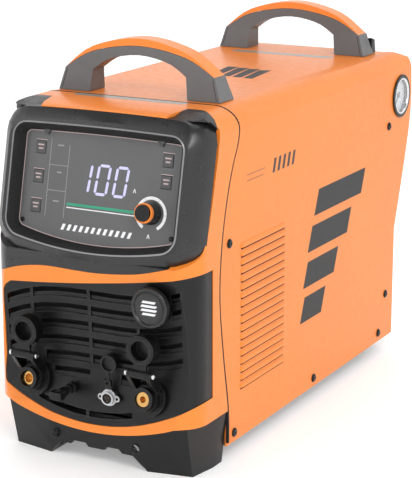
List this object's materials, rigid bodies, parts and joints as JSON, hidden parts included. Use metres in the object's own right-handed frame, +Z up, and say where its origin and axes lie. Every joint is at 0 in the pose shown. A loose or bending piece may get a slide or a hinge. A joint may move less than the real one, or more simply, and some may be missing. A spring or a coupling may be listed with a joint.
{
  "type": "plasma cutter",
  "caption": "Portable air plasma cutter: orange louvred sheet case, tilted display panel, carrying handles, flip-capped front sockets, side pressure gauge and rear fan.",
  "frame": {"origin": "centre of the bounding box's bottom face, on the floor under the middle of the case", "axes": "+X to the right hand of someone facing the front, +Y from the front to the rear, +Z up"},
  "size_m": [0.27, 0.673, 0.4845],
  "materials": {
    "cover_paint": "satin powder coat",
    "orange_plastic": "semi-gloss",
    "dark_plastic": "fine textured",
    "grey_plastic": "fine textured",
    "button_plastic": "satin",
    "display_gloss": "gloss",
    "clear_lens": "clear",
    "grey_paint": "satin powder coat",
    "steel": "satin",
    "brass": "satin",
    "iron": "laminated",
    "copper": "enamelled",
    "alloy": "satin",
    "board": "lacquered",
    "rubber": "matt",
    "hose": "satin"
  },
  "bodies": {
    "unit": {"cover": "cover_paint", "base_tray": "grey_paint", "rear_panel": "grey_paint", "rear_foot_left": "rubber", "rear_foot_right": "rubber", "front_fascia": "orange_plastic", "visor": "dark_plastic", "display_panel": "display_gloss", "lower_panel": "dark_plastic", "front_plinth": "dark_plastic", "encoder": "steel", "left_socket_body": "dark_plastic", "left_socket_contact": "brass", "left_cover_pin": "steel", "right_socket_body": "dark_plastic", "right_socket_contact": "brass", "right_cover_pin": "steel", "control_connector": "steel", "terminal_post": "dark_plastic", "badge": "dark_plastic", "front_handle": "grey_plastic", "front_grip": "orange_plastic", "rear_handle": "grey_plastic", "rear_grip": "orange_plastic", "gauge_case": "dark_plastic", "gauge_lens": "clear_lens", "fan_frame": "dark_plastic", "fan_guard": "steel", "transformer_core": "iron", "transformer_winding": "copper", "output_choke": "copper", "heatsink": "alloy", "power_board": "board", "capacitor_1": "rubber", "capacitor_2": "rubber", "control_board": "board", "display_module": "display_gloss", "solenoid_valve": "steel", "air_hose": "hose", "mains_switch": "dark_plastic", "cable_gland": "rubber", "earth_stud": "brass", "air_regulator": "alloy", "filter_bowl": "clear_lens", "air_inlet": "brass"},
    "left_cover": {"left_flip_cover": "dark_plastic"},
    "right_cover": {"right_flip_cover": "dark_plastic"},
    "connector_cap": {"dust_cap": "dark_plastic"},
    "knob": {"setting_knob": "dark_plastic", "knob_ring": "orange_plastic"},
    "wing": {"terminal_wing": "dark_plastic"},
    "rocker": {"switch_rocker": "dark_plastic"},
    "pressure_knob": {"regulator_knob": "dark_plastic"},
    "fan": {"fan_rotor": "dark_plastic"},
    "needle": {"gauge_needle": "dark_plastic"},
    "key_1": {"button_1": "button_plastic"},
    "key_2": {"button_2": "button_plastic"},
    "key_3": {"button_3": "button_plastic"},
    "key_4": {"button_4": "button_plastic"},
    "key_5": {"button_5": "button_plastic"}
  },
  "joints": [
    {"name": "left_cover_hinge", "type": "hinge", "parent": "unit", "child": "left_cover", "pos_m": [-0.0775, -0.3195, 0.1305], "axis": [1, 0, 0], "range_deg": [0, 178]},
    {"name": "right_cover_hinge", "type": "hinge", "parent": "unit", "child": "right_cover", "pos_m": [0.0775, -0.3195, 0.1305], "axis": [1, 0, 0], "range_deg": [0, 178]},
    {"name": "connector_cap_hinge", "type": "hinge", "parent": "unit", "child": "connector_cap", "pos_m": [0.025, -0.3019, 0.1087], "axis": [1, 0, 0], "range_deg": [0, 178]},
    {"name": "knob_turn", "type": "hinge", "parent": "unit", "child": "knob", "pos_m": [0.07, -0.2884, 0.30791], "axis": [0, -0.9765, 0.2156], "continuous": true},
    {"name": "wing_turn", "type": "hinge", "parent": "unit", "child": "wing", "pos_m": [-0.025, -0.33, 0.0925], "axis": [0, 1, 0], "continuous": true},
    {"name": "rocker_tip", "type": "hinge", "parent": "unit", "child": "rocker", "pos_m": [-0.072, 0.2795, 0.3], "axis": [1, 0, 0], "range_deg": [-12, 0]},
    {"name": "pressure_knob_turn", "type": "hinge", "parent": "unit", "child": "pressure_knob", "pos_m": [0.084, 0.3095, 0.388], "axis": [0, 0, 1], "range_deg": [-720, 720]},
    {"name": "fan_spin", "type": "hinge", "parent": "unit", "child": "fan", "pos_m": [0, 0.2645, 0.112], "axis": [0, 1, 0], "continuous": true},
    {"name": "needle_swing", "type": "hinge", "parent": "unit", "child": "needle", "pos_m": [0.1292, 0.2975, 0.356], "axis": [-1, 0, 0], "range_deg": [0, 270], "stiffness_Nm_per_rad": 0.0005, "springref_deg": -11.46},
    {"name": "key_1_press", "type": "slide", "parent": "unit", "child": "key_1", "axis": [0, 0.9765, -0.2156], "range_m": [0, 0.001], "stiffness_N_per_m": 400, "springref_m": -0.0005},
    {"name": "key_2_press", "type": "slide", "parent": "unit", "child": "key_2", "axis": [0, 0.9765, -0.2156], "range_m": [0, 0.001], "stiffness_N_per_m": 400, "springref_m": -0.0005},
    {"name": "key_3_press", "type": "slide", "parent": "unit", "child": "key_3", "axis": [0, 0.9765, -0.2156], "range_m": [0, 0.001], "stiffness_N_per_m": 400, "springref_m": -0.0005},
    {"name": "key_4_press", "type": "slide", "parent": "unit", "child": "key_4", "axis": [0, 0.9765, -0.2156], "range_m": [0, 0.001], "stiffness_N_per_m": 400, "springref_m": -0.0005},
    {"name": "key_5_press", "type": "slide", "parent": "unit", "child": "key_5", "axis": [0, 0.9765, -0.2156], "range_m": [0, 0.001], "stiffness_N_per_m": 400, "springref_m": -0.0005}
  ]
}
